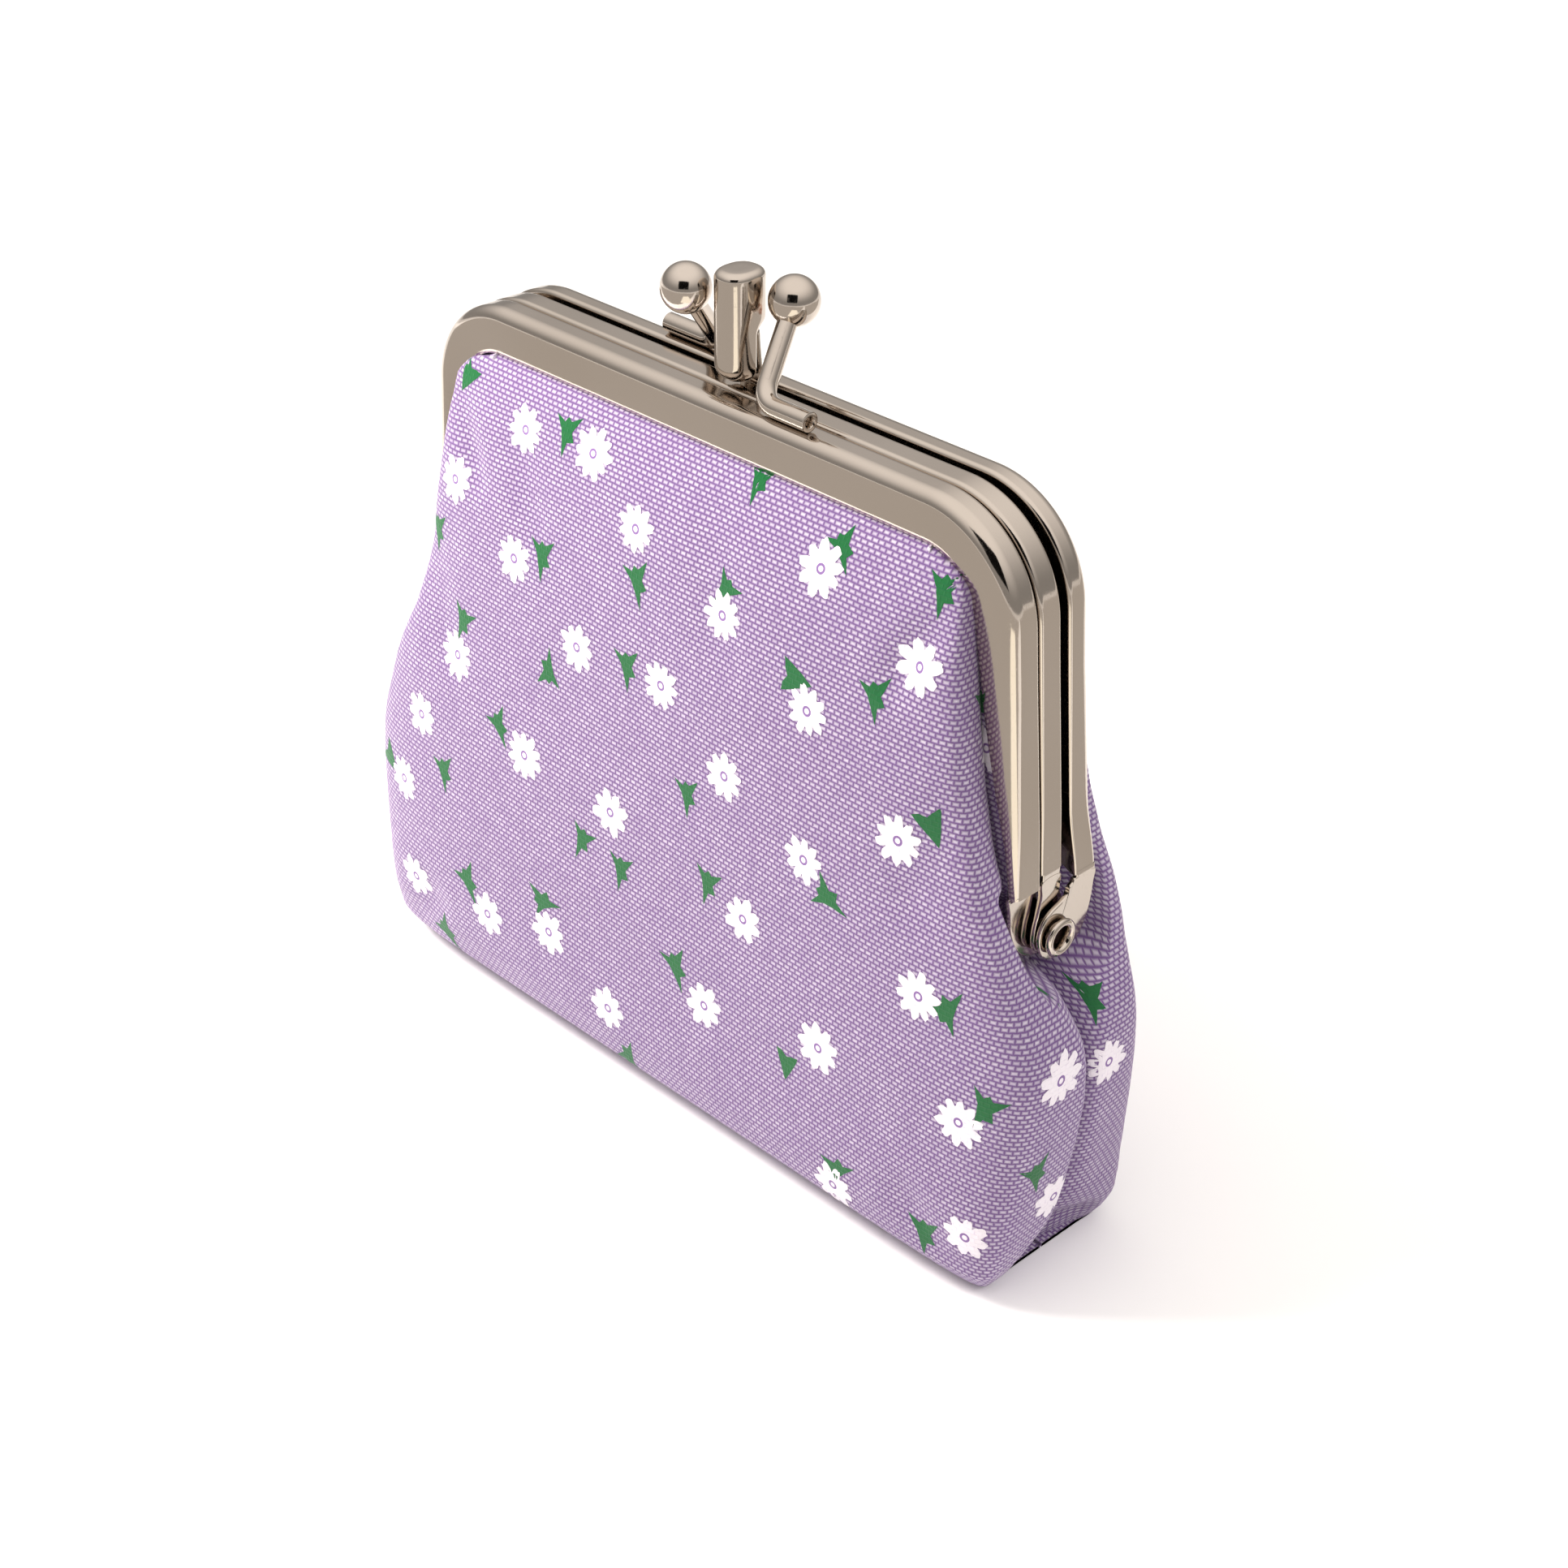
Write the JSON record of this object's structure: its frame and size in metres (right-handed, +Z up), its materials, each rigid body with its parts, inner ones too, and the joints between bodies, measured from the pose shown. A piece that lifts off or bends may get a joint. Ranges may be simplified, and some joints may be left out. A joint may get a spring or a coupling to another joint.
{
  "type": "double-compartment snap-frame coin purse",
  "caption": "Small cloth coin purse with two compartments under three nickel-plated arches that turn on side rivets and snap shut with two balls on a middle post.",
  "frame": {"origin": "centre of the purse's footprint, on the surface it stands on", "axes": "+X along the purse's width, to the right as seen from the front; +Y towards the rear panel; +Z up"},
  "size_m": [0.1136, 0.0292, 0.1057],
  "materials": {
    "nickel_steel": "polished nickel plate on stamped steel",
    "printed_canvas": "matt two-tone canvas weave, lilac and white, printed with small daisies and sprigs",
    "felt": "matt felt stiffener",
    "lining_cotton": "matt plain-woven cotton",
    "paper_cord": "twisted kraft paper"
  },
  "bodies": {
    "bag": {"middle_frame": "nickel_steel", "right_hinge_rivet": "nickel_steel", "left_hinge_rivet": "nickel_steel", "clasp_post_head": "nickel_steel", "clasp_post_bracket": "nickel_steel", "front_outer_panel": "printed_canvas", "front_interlining": "felt", "front_lining": "lining_cotton", "rear_outer_panel": "printed_canvas", "rear_interlining": "felt", "rear_lining": "lining_cotton", "divider_front_cloth": "lining_cotton", "divider_rear_cloth": "lining_cotton", "divider_stiffener": "felt", "middle_wedge_cord": "paper_cord"},
    "front_arch": {"front_frame": "nickel_steel", "front_clasp_ball": "nickel_steel", "front_clasp_stem": "nickel_steel", "front_wedge_cord": "paper_cord"},
    "rear_arch": {"rear_frame": "nickel_steel", "rear_clasp_ball": "nickel_steel", "rear_clasp_stem": "nickel_steel", "rear_wedge_cord": "paper_cord"}
  },
  "joints": [
    {"name": "front_hinge", "type": "hinge", "parent": "bag", "child": "front_arch", "pos_m": [0, 0, 0.0435], "axis": [1, 0, 0], "range_deg": [0, 60], "deforming": ["front_outer_panel", "front_interlining", "front_lining"]},
    {"name": "rear_hinge", "type": "hinge", "parent": "bag", "child": "rear_arch", "pos_m": [0, 0, 0.0435], "axis": [-1, 0, 0], "range_deg": [0, 60], "deforming": ["rear_outer_panel", "rear_interlining", "rear_lining"]}
  ]
}
